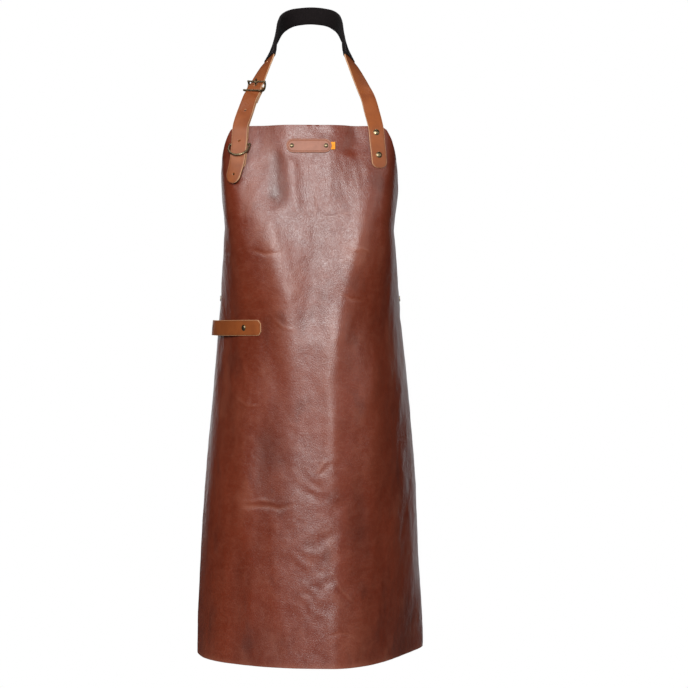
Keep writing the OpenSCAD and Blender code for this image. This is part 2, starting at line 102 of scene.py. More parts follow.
def half_w(t):
    hip = HIP_HALF + 4 * (1 - t / 160)
    skirt = mix(HIP_HALF, HEM_HALF, 1 - (1 - np.clip((t - 160) / (PANEL_LEN - 160), 0, 1)) ** 1.65)
    return np.where(t < 160, hip, skirt)


def side_w(t, right):
    return half_w(t) + np.where(right, -1, 1) * ridge_x(t)


def side_d(t, right):
    return (125 + np.where(right, 95, 88) * smooth(t / 300)
            + np.where(right, 18, -13) * smooth((t - 300) / 560))


def power(t, right):
    return (6 - np.where(right, 4.1, 3.9) * smooth(t / 330)
            - np.where(right, 0.45, 0) * smooth((t - 330) / 530))


def wrap(t):
    return mix(46.0, 92.0, np.clip(t / ARMHOLE_H, 0, 1) ** 0.9)


def lean(t):
    return -FRONT_DEPTH + 14 * (1 - np.clip(t / 250, 0, 1)) ** 2


def wing(a, t):
    lift = np.sin(np.radians(180 * np.clip(t / 170, 0, 1))) ** 2
    return 1 + 0.045 * lift * smooth((np.abs(a) - 50) / 25)


def set_back(x, t):
    return 16 * smooth((np.abs(x) - 30) / 55) * (1 - np.clip(t / 220, 0, 1)) ** 2


def skin(a, t):
    """The middle face's point at angle a (degrees) round the panel and drop t."""
    a, t = np.broadcast_arrays(np.asarray(a, float), np.asarray(t, float))
    right = a > 0
    w, d, n = side_w(t, right), side_d(t, right), power(t, right)
    sin, cos = np.sin(np.radians(a)), np.cos(np.radians(a))
    soft = math.sqrt(RIDGE_SOFT)
    s = (np.sqrt(sin ** 2 + RIDGE_SOFT) - soft) / (math.sqrt(1 + RIDGE_SOFT) - soft)
    r = wing(a, t) * ((np.abs(cos) / d) ** n + (s / w) ** n) ** (-1 / n)
    x = ridge_x(t) + r * sin
    y = lean(t) + d - r * cos + set_back(x, t)
    return np.stack([x, y, -BIB_DROP - t], axis=-1)


def facing(a, t):
    """The middle face's outward direction."""
    a, t = np.asarray(a, float), np.asarray(t, float)
    return unit(np.cross(skin(a, t + 1) - skin(a, t - 1), skin(a + 0.5, t) - skin(a - 0.5, t)))


def angle_at(x, t):
    """The angle round the panel at which it is x off centre."""
    off = x - ridge_x(t)
    right = off > 0
    n = power(t, right)
    depth = side_d(t, right) * np.maximum(1 - (np.abs(off) / side_w(t, right)) ** n, 0) ** (1 / n)
    return np.degrees(np.arctan2(off, depth))


def panel_frame(a, t):
    """[origin, across, along, out] on the panel."""
    n = facing(a, t)
    up = square_to(UP, n)
    return [skin(a, t), np.cross(up, n), up, n]


# ---------------------------------------- routes, as in the CAD
def spline(a, b, c, d, k):
    return 0.5 * (2 * b + (c - a) * k + (2 * a - 5 * b + 4 * c - d) * k * k
                  + (3 * b - a - 3 * c + d) * k ** 3)


class Route:
    """A smooth curve through stations [point, outward direction], measured by length."""

    def __init__(self, stations):
        self.points = np.array([s[0] for s in stations], float)
        self.outs = np.array([s[1] for s in stations], float)
        self.u = np.arange(0, len(stations) - 0.99, 0.25)
        at = self.on(self.u, self.points)
        steps = np.linalg.norm(np.diff(at, axis=0), axis=1)
        self.s = np.concatenate([[0.0], np.cumsum(steps)])
        self.end = self.s[-1]

    def on(self, u, what):
        last = len(what) - 1
        u = np.atleast_1d(u)
        i = np.clip(np.floor(u).astype(int), 0, last - 1)
        k = (u - i)[:, None]
        return spline(what[np.maximum(i - 1, 0)], what[i], what[i + 1],
                      what[np.minimum(i + 2, last)], k)

    def frames(self, s):
        """Points, across, along and out directions at lengths s."""
        u = np.interp(s, self.s, self.u)
        last = len(self.points) - 1
        ahead = self.on(np.minimum(u + 0.05, last), self.points)
        behind = self.on(np.maximum(u - 0.05, 0), self.points)
        t = unit(ahead - behind)
        n = square_to(self.on(u, self.outs), t)
        return self.on(u, self.points), np.cross(t, n), t, n

    def frame(self, s):
        return [v[0] for v in self.frames(np.array([float(s)]))]


def panel_station(a, t, rise):
    """A station that stands rise off the panel's middle face, at angle a and drop t."""
    n = facing(a, t)
    return [skin(a, t) + rise * n, n]


def bib_station(x, t, rise):
    return panel_station(angle_at(float(x), float(t)), t, rise)


def loop_station(x, y, h, turn, side):
    turn = math.radians(turn)
    return [(side * x, y, h - BIB_DROP), (side * math.sin(turn), math.cos(turn), 0)]


LOOP_HALF = (
    (95.5, -150, 46, 160), (88, -141, 64, 152), (80, -129, 83, 145), (72, -115, 102, 138),
    (64.5, -100, 119, 130), (59, -81, 140, 114), (54, -60, 161, 98), (50, -40, 178, 82),
    (43, -19, 191, 58), (28, -3, 201, 30),
)
neck_stations = [bib_station(x, t, TAIL_RISE) for x, t in
                 ((-116, 92), (-110, 61), (-108, 40), (-107, 18), (-106, 1))]
neck_stations.append([(-102, -166, 23 - BIB_DROP), (-0.2, -1, 0)])
neck_stations += [loop_station(*q, -1) for q in LOOP_HALF]
neck_stations.append(loop_station(0, 3.5, 205, 0, 1))
neck_stations += [loop_station(*q, 1) for q in reversed(LOOP_HALF)]
neck_stations.append([(101, -158, 25 - BIB_DROP), (0.2, -1, 0)])
neck_stations += [bib_station(x, t, ON_PANEL) for x, t in
                  ((STRAP_X - 1, 2), (STRAP_X + 1, 25), (STRAP_X + 3, 47), (STRAP_X + 4, 68))]
neck_route = Route(neck_stations)
NECK_BAR = FIRST_HOLE + NECK_IN_USE * HOLE_PITCH - HOLE_TO_BAR
NAPE = float(np.interp(6 + len(LOOP_HALF), neck_route.u, neck_route.s))


BACK_W, BACK_Y, BACK_D = 147.6, 24.0, 56.0
WAIST_RISE = -LEATHER_T / 2 - 0.6 - STRAP_T / 2      # on the inside of the panel
waist_stations = [panel_station(a, WAIST_DROP, WAIST_RISE) for a in range(-66, -91, -4)]
for f in range(-80, 81, 10):
    sin, cos = math.sin(math.radians(f)), math.cos(math.radians(f))
    waist_stations.append([(BACK_W * sin, BACK_Y + BACK_D * cos, -BIB_DROP - WAIST_DROP),
                           (sin, cos, 0)])
waist_stations += [panel_station(a, WAIST_DROP, WAIST_RISE) for a in range(90, 65, -4)]
waist_route = Route(waist_stations)
WAIST_TIP = 120.0
WAIST_BAR = WAIST_TIP + FIRST_HOLE + WAIST_IN_USE * HOLE_PITCH - HOLE_TO_BAR
KEEPER_AT = WAIST_BAR - 48

LOOP_SHAPE = (
    (-27, 0), (-30, 0), (-33, 0.1), (-36, 0.3), (-40, 0.7), (-44, 1.4), (-48, 2.4), (-52, 3.6),
    (-56, 5), (-60, 6.5), (-64, 8), (-68, 9), (-72, 9), (-75, 7.2), (-77.5, 4.4), (-79.5, 2),
    (-81.2, 0.6), (-83, 0.1), (-85.5, 0), (-88, 0),
)
loop_route = Route([panel_station(a, LOOP_DROP, ON_PANEL + 0.4 + rise) for a, rise in LOOP_SHAPE])

# Buckle sizes, from the centre bar to the outer bars and from the strap's middle line
BAR_REACH = 9.5
BAR_SINK = -4.2
CENTRE_R = 1.2
FOLD_R = CENTRE_R + 0.1 + STRAP_T / 2


def dip(d):
    """Height of a strap that weaves through a buckle, d past the centre bar."""
    d = np.abs(d)
    near = 0.9 - 1.8 * smooth(d / BAR_REACH)
    far = -0.9 * smooth(2 - d / BAR_REACH)
    return np.where(d > 2 * BAR_REACH, 0, np.where(d > BAR_REACH, far, near))


def fold_list(bar):
    """(s, height) pairs where a strap folds round a buckle's centre bar and comes back."""
    turn = [(bar + FOLD_R * math.sin(f), BAR_SINK + FOLD_R * math.cos(f))
            for f in (math.radians(k) for k in range(0, 181, 30))]
    return ([(bar - 9.5, -3.7), (bar - 4.5, -2.6), (bar - 1.5, -1.9)] + turn
            + [(bar - 4, -6.6), (bar - 14, -6.5), (bar - 26, -6.75)])


# ---------------------------------------- materials
class Shader:
    """A material being built from nodes."""

    def __init__(self, name, roughness, **sockets):
        self.material = bpy.data.materials.new(name)
        self.material.use_nodes = True
        self.tree = self.material.node_tree
        self.bsdf = self.tree.nodes["Principled BSDF"]
        self.bsdf.inputs["Roughness"].default_value = roughness
        for socket, value in sockets.items():
            self.bsdf.inputs[socket.replace("_", " ")].default_value = value
        self.coords = self.node("ShaderNodeTexCoord").outputs["Object"]

    def node(self, kind, **values):
        made = self.tree.nodes.new(kind)
        for key, value in values.items():
            setattr(made, key, value)
        return made

    def put(self, socket, value):
        if isinstance(value, bpy.types.NodeSocket):
            self.tree.links.new(value, socket)
        elif socket.type == "RGBA":
            socket.default_value = (*value, 1.0)
        else:
            socket.default_value = value

    def stretch(self, scale):
        made = self.node("ShaderNodeMapping")
        self.put(made.inputs["Vector"], self.coords)
        made.inputs["Scale"].default_value = scale
        return made.outputs["Vector"]

    def noise(self, scale, detail, rough=0.5, coords=None, distortion=0.0):
        made = self.node("ShaderNodeTexNoise")
        self.put(made.inputs["Vector"], coords or self.coords)
        for key, value in (("Scale", scale), ("Detail", detail), ("Roughness", rough),
                           ("Distortion", distortion)):
            made.inputs[key].default_value = value
        return made.outputs["Fac"]

    def cells(self, scale, feature="DISTANCE_TO_EDGE"):
        made = self.node("ShaderNodeTexVoronoi", feature=feature)
        self.put(made.inputs["Vector"], self.coords)
        made.inputs["Scale"].default_value = scale
        return made.outputs["Distance"]

    def waves(self, scale, coords, direction):
        made = self.node("ShaderNodeTexWave", bands_direction=direction)
        self.put(made.inputs["Vector"], coords)
        made.inputs["Scale"].default_value = scale
        return made.outputs["Fac"]

    def math(self, operation, *values):
        made = self.node("ShaderNodeMath", operation=operation)
        for socket, value in zip(made.inputs, values):
            self.put(socket, value)
        return made.outputs[0]

    def ranged(self, value, low, high, out_low=0.0, out_high=1.0):
        made = self.node("ShaderNodeMapRange")
        self.put(made.inputs["Value"], value)
        for key, number in (("From Min", low), ("From Max", high),
                            ("To Min", out_low), ("To Max", out_high)):
            made.inputs[key].default_value = number
        return made.outputs["Result"]

    def blend(self, amount, a, b):
        made = self.node("ShaderNodeMix", data_type="RGBA")
        self.put(made.inputs[0], amount)
        self.put(made.inputs[6], a)
        self.put(made.inputs[7], b)
        return made.outputs[2]

    def attribute(self, name):
        return self.node("ShaderNodeAttribute", attribute_name=name).outputs["Fac"]

    def colour(self, value):
        self.put(self.bsdf.inputs["Base Color"], value)

    def rough(self, value):
        self.put(self.bsdf.inputs["Roughness"], value)

    def bumps(self, *layers):
        """Each layer is (height, millimetres of relief)."""
        before = None
        for height, relief in layers:
            made = self.node("ShaderNodeBump")
            made.inputs["Distance"].default_value = relief * MM
            self.put(made.inputs["Height"], height)
            if before:
                self.put(made.inputs["Normal"], before)
            before = made.outputs["Normal"]
        self.put(self.bsdf.inputs["Normal"], before)


def panel_grain():
    """Waxed pull-up leather: mottled, finely pebbled, paler where it is bent or rubbed, with painted
    shade between its pebbles and in the hollows of its folds.
    """
    m = Shader("panel_grain", 0.34, Specular_IOR_Level=0.62)
    clouds = m.ranged(m.noise(7.0, 5.0, 0.6, distortion=0.4), 0.3, 0.7)
    mottle = m.ranged(m.noise(45.0, 6.0, 0.65), 0.32, 0.68)
    pebble = m.cells(430.0)
    fine = m.noise(430.0, 3.0, 0.6)
    # lines where a stretched noise passes its middle value
    passing = m.ranged(m.noise(26.0, 8.0, 0.62, m.stretch((1.0, 1.0, 2.1)), 1.5), 0.46, 0.54, -1.0)
    veins = m.math("SUBTRACT", 1.0, m.math("ABSOLUTE", passing))
    base = m.blend(clouds, (0.104, 0.0115, 0.0022), (0.158, 0.0210, 0.0050))
    base = m.blend(m.math("MULTIPLY", mottle, 0.40), base, (0.190, 0.038, 0.015))
    # painted shade: darker in the narrow valleys between the pebbles of the grain
    base = m.blend(m.ranged(pebble, 0.0, 0.25, 0.30, 0.0), base, (0.060, 0.014, 0.008))
    base = m.blend(m.math("MULTIPLY", veins, 0.16), base, (0.24, 0.080, 0.046))
    base = m.blend(m.ranged(m.attribute("worn"), 0.0, 1.0, 0.0, 0.75), base, (0.27, 0.095, 0.056))
    # painted shade: the dark attribute darkens the hollows of the folds, and also holds random darker
    # patches of the hide's own tone
    base = m.blend(m.ranged(m.attribute("dark"), 0.0, 1.0, 0.0, 0.8), base, (0.050, 0.012, 0.008))
    m.colour(base)
    m.rough(m.math("ADD", m.ranged(mottle, 0.0, 1.0, 0.33, 0.40), m.math("MULTIPLY", clouds, 0.05)))
    m.bumps((m.ranged(pebble, 0.0, 0.3), 0.11), (fine, 0.09), (veins, 0.02), (mottle, 0.09))
    return m.material


def panel_flesh():
    """The rough inner side of the same hide."""
    m = Shader("panel_flesh", 0.92, Sheen_Weight=0.08, Sheen_Roughness=0.5)
    nap = m.noise(420.0, 6.0, 0.7, distortion=0.8)
    patches = m.noise(12.0, 5.0, 0.6)
    base = m.blend(m.ranged(patches, 0.3, 0.7), (0.120, 0.042, 0.019), (0.225, 0.092, 0.047))
    m.colour(m.blend(m.ranged(nap, 0.3, 0.7, 0.0, 0.5), base, (0.33, 0.155, 0.088)))
    m.bumps((nap, 0.3), (m.noise(2200.0, 2.0), 0.08))
    return m.material


def cut_edge(name, dark, pale):
    """The raw cut edge of a hide, with its layers showing."""
    m = Shader(name, 0.72)
    grain = m.noise(900.0, 5.0, 0.7)
    m.colour(m.blend(m.ranged(grain, 0.3, 0.7), dark, pale))
    m.bumps((grain, 0.15))
    return m.material


def strap_grain():
    """Smooth cognac bridle leather with faint pores and rubbed patches."""
    m = Shader("strap_grain", 0.48, Specular_IOR_Level=0.42)
    long_grain = m.noise(38.0, 6.0, 0.6, distortion=0.6)
    pores = m.cells(950.0, "F1")
    rub = m.ranged(m.noise(16.0, 5.0, 0.6), 0.35, 0.7)
    base = m.blend(m.ranged(long_grain, 0.3, 0.7), (0.160, 0.035, 0.0065), (0.245, 0.063, 0.013))
    base = m.blend(m.math("MULTIPLY", rub, 0.4), base, (0.28, 0.085, 0.024))
    # painted shade: darker in the small pits of the pores
    base = m.blend(m.ranged(pores, 0.0, 0.25, 0.35, 0.0), base, (0.14, 0.040, 0.012))
    m.colour(m.blend(m.ranged(m.attribute("rim"), 0.0, 1.0, 0.0, 0.55), base, (0.16, 0.048, 0.014)))
    m.rough(m.ranged(rub, 0.0, 1.0, 0.52, 0.42))
    m.bumps((m.ranged(pores, 0.0, 0.3), 0.014), (long_grain, 0.09), (m.noise(1600.0, 2.0), 0.006))
    return m.material


def patch_grain():
    """Natural undyed leather of the label patch."""
    m = Shader("patch_grain", 0.55)
    tone = m.noise(70.0, 6.0, 0.6)
    pores = m.cells(1100.0, "F1")
    base = m.blend(m.ranged(tone, 0.3, 0.7), (0.20, 0.064, 0.032), (0.29, 0.105, 0.057))
    base = m.blend(m.ranged(pores, 0.0, 0.25, 0.25, 0.0), base, (0.25, 0.10, 0.06))
    m.colour(m.blend(m.ranged(m.attribute("rim"), 0.0, 1.0, 0.0, 0.6), base, (0.20, 0.075, 0.045)))
    m.bumps((m.ranged(pores, 0.0, 0.3), 0.05), (tone, 0.15))
    return m.material


def woven(name, dark, pale, threads_per_m, relief, sheen):
    """A plain weave laid out along the piece's own UV map, which is in metres."""
    m = Shader(name, 0.9, Sheen_Weight=sheen, Sheen_Roughness=0.45, Specular_IOR_Level=0.15)
    uv = m.node("ShaderNodeUVMap").outputs["UV"]
    # A sine band texture repeats every 0.314 / scale
    scale = threads_per_m * 0.1 * math.pi
    warp, weft = m.waves(scale, uv, "X"), m.waves(scale, uv, "Y")
    over = m.waves(scale * 0.5, uv, "DIAGONAL")
    height = m.math("ADD", m.math("MULTIPLY", warp, over),
                    m.math("MULTIPLY", weft, m.math("SUBTRACT", 1.0, over)))
    lint = m.noise(300.0, 6.0, 0.75)
    # painted light and shade of the weave: thread tops paler, the gaps between the threads darker
    base = m.blend(m.ranged(height, 0.0, 1.0), dark, pale)
    m.colour(m.blend(m.ranged(lint, 0.45, 0.8, 0.0, 0.45), base, tuple(2.4 * c for c in pale)))
    m.bumps((height, relief), (lint, relief))
    return m.material


def waxed_thread(name, dark, pale):
    m = Shader(name, 0.6, Sheen_Weight=0.2)
    ply = m.noise(1400.0, 4.0, 0.6)
    m.colour(m.blend(ply, dark, pale))
    m.bumps((ply, 0.08))
    return m.material


def antique_brass():
    """Brass darkened with age, rubbed bright in patches, with fine scratches."""
    m = Shader("antique_brass", 0.38, Metallic=1.0)
    age = m.ranged(m.noise(240.0, 7.0, 0.7), 0.36, 0.62)
    scratches = m.noise(500.0, 3.0, 0.6, m.stretch((1.0, 1.0, 9.0)))
    base = m.blend(age, (0.085, 0.065, 0.038), (0.30, 0.235, 0.135))
    m.colour(m.blend(m.ranged(scratches, 0.52, 0.7, 0.0, 0.5), base, (0.52, 0.43, 0.28)))
    m.rough(m.ranged(age, 0.0, 1.0, 0.5, 0.28))
    m.bumps((age, 0.03), (scratches, 0.02))
    return m.material


grain = panel_grain()
flesh = panel_flesh()
panel_edge = cut_edge("panel_cut_edge", (0.30, 0.130, 0.080), (0.52, 0.290, 0.200))
tan = strap_grain()
tan_edge = cut_edge("strap_cut_edge", (0.34, 0.150, 0.060), (0.66, 0.400, 0.230))
tan_flesh = cut_edge("strap_flesh", (0.30, 0.130, 0.055), (0.50, 0.260, 0.135))
natural = patch_grain()
natural_edge = cut_edge("patch_cut_edge", (0.30, 0.115, 0.060), (0.58, 0.310, 0.200))
black_weave = woven("black_weave", (0.0025, 0.0016, 0.0018), (0.008, 0.0055, 0.006), 900, 0.12, 0.0)
amber_weave = woven("amber_weave", (0.48, 0.145, 0.012), (0.80, 0.330, 0.040), 1600, 0.06, 0.2)
dark_thread = waxed_thread("dark_thread", (0.020, 0.011, 0.009), (0.070, 0.040, 0.030))
black_thread = waxed_thread("black_thread", (0.010, 0.009, 0.010), (0.045, 0.040, 0.044))
brass = antique_brass()


# ---------------------------------------- mesh helpers
def make_piece(name, points, faces, materials, indices=None, uv=None, numbers=None):
    """points in mm; uv holds one pair per point; numbers maps an attribute's name to values."""
    mesh = bpy.data.meshes.new(name)
    mesh.from_pydata((np.asarray(points) * MM).tolist(), [], [tuple(map(int, f)) for f in faces])
    for m in materials:
        mesh.materials.append(m)
    if indices is not None:
        mesh.polygons.foreach_set("material_index", np.asarray(indices, np.int32))
    mesh.shade_smooth()
    if uv is not None:
        corner = np.empty(len(mesh.loops), np.int32)
        mesh.loops.foreach_get("vertex_index", corner)
        layer = mesh.uv_layers.new(name="UVMap")
        layer.data.foreach_set("uv", (np.asarray(uv, float)[corner] * MM).ravel())
    for key, values in (numbers or {}).items():
        layer = mesh.attributes.new(key, "FLOAT", "POINT")
        layer.data.foreach_set("value", np.asarray(values, float).ravel())
    mesh.validate()
    mesh.update()
    piece = bpy.data.objects.new(name, mesh)
    scene.collection.objects.link(piece)
    return piece


def settle(piece, body, slot, *nodes):
    """Gives a finished piece its body and hides the CAD nodes that it replaces; slot is not used."""
    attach(piece, body)
    if nodes:
        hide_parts(*nodes)
    return piece


def tube_faces(rings, around, first=0, band=False):
    """Faces of a tube of rings whose points start at first, each ring anticlockwise as seen
    looking the way the rings go. Its ends are closed, or a band's last ring joins its first."""
    i, p = np.meshgrid(np.arange(rings if band else rings - 1), np.arange(around), indexing="ij")
    j, q = (i + 1) % rings, (p + 1) % around
    quads = np.stack([i * around + p, j * around + p, j * around + q, i * around + q], axis=-1)
    faces = (first + quads.reshape(-1, 4)).tolist()
    if not band:
        ring = range(first, first + around)
        faces += [ring, [(rings - 1) * around + k for k in reversed(ring)]]
    return faces


# ---------------------------------------- straps
CORNER = 0.55      # radius of a strap's rounded corners
CROWN = 0.12       # how far a strap's middle stands over its edges
WANDER = 0.25      # how far a strap strays from its line
GRAIN, EDGE, FLESH = 0, 1, 2


def strap_outline():
    """Section points (x, z) anticlockwise, and what shows between each one and the next."""
    w, h = STRAP_W / 2 - CORNER, STRAP_T / 2 - CORNER

    def corner(cx, cz, start, stops):
        return [(cx + CORNER * math.cos(math.radians(start + k)),
                 cz + CORNER * math.sin(math.radians(start + k))) for k in stops]

    below = [(x, -STRAP_T / 2) for x in np.linspace(-w, w, 6)[:-1]]
    right = corner(w, -h, -90, (0, 45, 90)) + corner(w, h, 0, (0, 45))
    above = [(x, STRAP_T / 2) for x in np.linspace(w, -w, 9)[:-1]]
    left = corner(-w, h, 90, (0, 45, 90)) + corner(-w, -h, 180, (0, 45))
    kinds = [FLESH] * len(below) + [EDGE] * len(right) + [GRAIN] * len(above) + [EDGE] * len(left)
    return np.array(below + right + above + left), kinds


def smooth_path(knots, step):
    """Catmull-Rom through (s, height) knots, resampled about every step mm."""
    knots = np.array(knots, float)
    fine = []
    last = len(knots) - 1
    for i in range(last):
        count = max(2, int(np.linalg.norm(knots[i + 1] - knots[i]) / 0.5))
        k = (np.arange(count) / count)[:, None]
        fine.append(spline(knots[max(0, i - 1)], knots[i], knots[i + 1], knots[min(last, i + 2)], k))
    fine = np.concatenate(fine + [knots[-1:]])
    length = np.concatenate([[0], np.cumsum(np.linalg.norm(np.diff(fine, axis=0), axis=1))])
    count = max(8, int(length[-1] / step))
    at = np.linspace(0, length[-1], count + 1)
    return np.stack([np.interp(at, length, fine[:, 0]), np.interp(at, length, fine[:, 1])], 1), at


def end_narrowing(d, radius, least):
    if radius <= 0:
        return np.ones_like(d)
    k = np.clip(1 - d / radius, 0, 1)
    return np.maximum(least, np.sqrt(1 - k * k))


def strap(name, route, knots, ends, step=2.2):
    """A leather strap along a route; ends holds (radius, least width) at its start and end."""
    path, at = smooth_path(knots, step)
    # rings stand closer together where an end is rounded
    shares = np.array([0.02, 0.06, 0.12, 0.2, 0.3, 0.42, 0.56])
    extra = np.concatenate([shares * ends[0][0], at[-1] - shares * ends[1][0]])
    rings = np.unique(np.round(np.concatenate([at, extra[(extra > 0) & (extra < at[-1])]]), 3))
    path = np.stack([np.interp(rings, at, path[:, 0]), np.interp(rings, at, path[:, 1])], 1)
    centre, across, _, out = route.frames(path[:, 0])
    middle = centre + path[:, 1:] * out
    along = unit(np.gradient(middle, rings, axis=0))
    across = square_to(across, along)
    up = np.cross(across, along)
    narrow = np.minimum(end_narrowing(rings, *ends[0]), end_narrowing(rings[-1] - rings, *ends[1]))
    # each strap strays its own way, by the length of its name
    drift = np.array([noise.noise(Vector((r * 0.012, len(name), 0.3))) for r in rings]) * WANDER
    middle = middle + drift[:, None] * across
    outline, kinds = strap_outline()
    x = outline[:, 0] * narrow[:, None]
    crown = CROWN * (1 - (2 * outline[:, 0] / STRAP_W) ** 2) * (outline[:, 1] > 0)
    z = np.broadcast_to(outline[:, 1] + crown, x.shape)
    points = middle[:, None] + x[..., None] * across[:, None] + z[..., None] * up[:, None]
    indices = kinds * (len(rings) - 1) + [EDGE, EDGE]
    near_edge = smooth((np.abs(outline[:, 0]) * 2 / STRAP_W - 0.80) / 0.16)
    end_gap = np.minimum(rings, rings[-1] - rings)
    rim = np.maximum(near_edge, smooth(1 - end_gap / 3.0)[:, None])
    uv = np.stack(np.broadcast_arrays(rings[:, None], outline[:, 0]), axis=-1)
    piece = make_piece(name, points.reshape(-1, 3), tube_faces(len(rings), len(outline)),
                       [tan, tan_edge, tan_flesh], indices, uv.reshape(-1, 2), {"rim": rim})
    piece.data.set_sharp_from_angle(angle=math.radians(35))
    return piece


def cutter(shapes):
    """One mesh of prisms, each given as a frame, an outline in the frame's (across, along)
    plane and the two heights between which it stands."""
    points, faces = [], []
    for (origin, across, along, out), outline, low, high in shapes:
        n, m = len(points), len(outline)
        for z in (low, high):
            points += [origin + x * across + y * along + z * out for x, y in outline]
        faces += [tuple(n + k for k in reversed(range(m))), tuple(n + m + k for k in range(m))]
        faces += [(n + k, n + (k + 1) % m, n + m + (k + 1) % m, n + m + k) for k in range(m)]
    return make_piece("cutter", points, faces, [tan, tan_edge, tan_flesh], [EDGE] * len(faces))


def circle(radius, sides=20):
    return [(radius * math.cos(f), radius * math.sin(f))
            for f in (2 * math.pi * k / sides for k in range(sides))]


def slot_outline(half_width, half_length):
    """A round-ended slot along the strap."""
    top = [(half_width * math.cos(f), half_length + half_width * math.sin(f))
           for f in (math.pi * k / 10 for k in range(11))]
    return top + [(-x, -y) for x, y in top]


def cut(piece, shapes):
    """Takes the prisms out of the piece's mesh."""
    tool = cutter(shapes)
    changes = piece.modifiers.new("holes", "BOOLEAN")
    changes.operation = "DIFFERENCE"
    changes.solver = "EXACT"
    changes.object = tool
    depsgraph = bpy.context.evaluated_depsgraph_get()
    mesh = bpy.data.meshes.new_from_object(piece.evaluated_get(depsgraph))
    piece.modifiers.clear()
    piece.data = mesh
    bpy.data.objects.remove(tool)


# ---------------------------------------- where things sit on the panel
right_rivets = [panel_frame(angle_at(STRAP_X + dx, t), t)
                for dx, t in zip((-0.4, 3.0), RIVET_DROPS)]
left_rivets = [panel_frame(angle_at(-STRAP_X - dx, t), t)
               for dx, t in zip((-0.4, 1.2), RIVET_DROPS)]
PATCH_DROP = 33.5
PATCH_RIVET_X = 27.2
patch_frame = panel_frame(angle_at(1.0, PATCH_DROP), PATCH_DROP)
patch_rivets = [[patch_frame[0] + s * PATCH_RIVET_X * patch_frame[1]] + patch_frame[1:]
                for s in (-1, 1)]
loop_rivets = [panel_frame(angle_at(-98.5, LOOP_DROP), LOOP_DROP), panel_frame(-82.0, LOOP_DROP)]
waist_rivets = [panel_frame(float(a), WAIST_DROP) for a in (-82, -74, 74, 82)]

# ---------------------------------------- the panel
COLUMNS = 232
ROWS = 330

# Soft ridges and hollows in the hide: half width, height, and the (x, t) points they run through
SOFT_FOLDS = (
    (22, 4.2, ((-92, 92), (-72, 145), (-52, 200), (-38, 270), (-30, 350), (-27, 470))),
    (20, 4.4, ((104, 100), (86, 165), (74, 225), (62, 290), (48, 345), (38, 420))),
    (17, 3.4, ((38, 330), (36, 420), (35, 520), (33, 640))),
    (15, -3.6, ((-50, 26), (-52, 70), (-48, 140))),
    (13, 2.2, ((-28, 22), (-24, 90), (-20, 160))),
    (13, -3.2, ((66, -10), (70, 18), (62, 52))),
    (11, -1.8, ((34, 4), (22, 40), (-4, 56))),
    (20, -2.2, ((10, 170), (4, 260), (6, 360))),
    (24, 2.4, ((-96, 380), (-108, 520), (-112, 680))),
    (26, -2.4, ((-66, 430), (-74, 560), (-82, 760))),
    (22, 2.0, ((96, 330), (104, 470), (112, 640))),
    (20, -2.0, ((74, 430), (82, 560), (88, 720))),
)
# Sharper creases, the same way
CREASES = (
    (3.2, -0.9, ((-118, 612), (-84, 606), (-48, 609), (-14, 601))),
    (2.2, 0.7, ((-112, 602), (-78, 597), (-44, 601))),
    (2.6, 0.8, ((30, 528), (20, 541), (9, 556))),
    (2.4, -0.7, ((40, 534), (28, 547), (16, 560))),
    (1.6, 0.6, ((10, 100), (13, 130), (9, 158))),
    (1.5, -0.6, ((15, 144), (42, 146), (74, 139))),
    (2.0, 0.7, ((34, 700), (52, 738), (84, 772))),
    (1.8, -0.6, ((26, 812), (50, 806), (82, 814))),
    (2.6, -0.8, ((-96, 196), (-66, 207), (-36, 203))),
    (2.2, 0.6, ((60, 204), (84, 196), (104, 204))),
    (1.8, 0.6, ((-60, 300), (-38, 322), (-12, 330))),
    (2.0, -0.7, ((44, 262), (66, 277), (92, 280))),
    (2.2, 0.6, ((-120, 430), (-98, 446), (-70, 448))),
)


def along_points(points, x, t, fade):
    """Distance from (x, t) to a line through points, and a strength that fades at its ends."""
    points = np.array(points, float)
    lengths = np.linalg.norm(np.diff(points, axis=0), axis=1)
    total, done = lengths.sum(), 0.0
    best = np.full(x.shape, 1e9)
    strength = np.zeros(x.shape)
    for (x0, t0), (x1, t1), length in zip(points[:-1], points[1:], lengths):
        dx, dt = (x1 - x0) / length, (t1 - t0) / length
        k = np.clip((x - x0) * dx + (t - t0) * dt, 0, length)
        gap = np.hypot(x - x0 - k * dx, t - t0 - k * dt)
        place = done + k
        here = smooth(np.minimum(place, total - place) / (fade * total) + 0.05)
        closer = gap < best
        best, strength = np.where(closer, gap, best), np.where(closer, here, strength)
        done += length
    return best, strength


def hills(x, t, scale_x, scale_t, seed, octaves=3):
    """Smooth noise over (x, t), about -1 to 1."""
    places = zip((x / scale_x).ravel(), (t / scale_t).ravel())
    heights = [noise.fractal(Vector((p, q, seed)), 0.9, 2.0, octaves) for p, q in places]
    return np.array(heights).reshape(x.shape)


def lines_rise(lines, x, t, fade):
    rise = np.zeros(x.shape)
    for width, height, points in lines:
        gap, strength = along_points(points, x, t, fade)
        rise += height * strength * np.exp(-(gap / width) ** 2)
    return rise


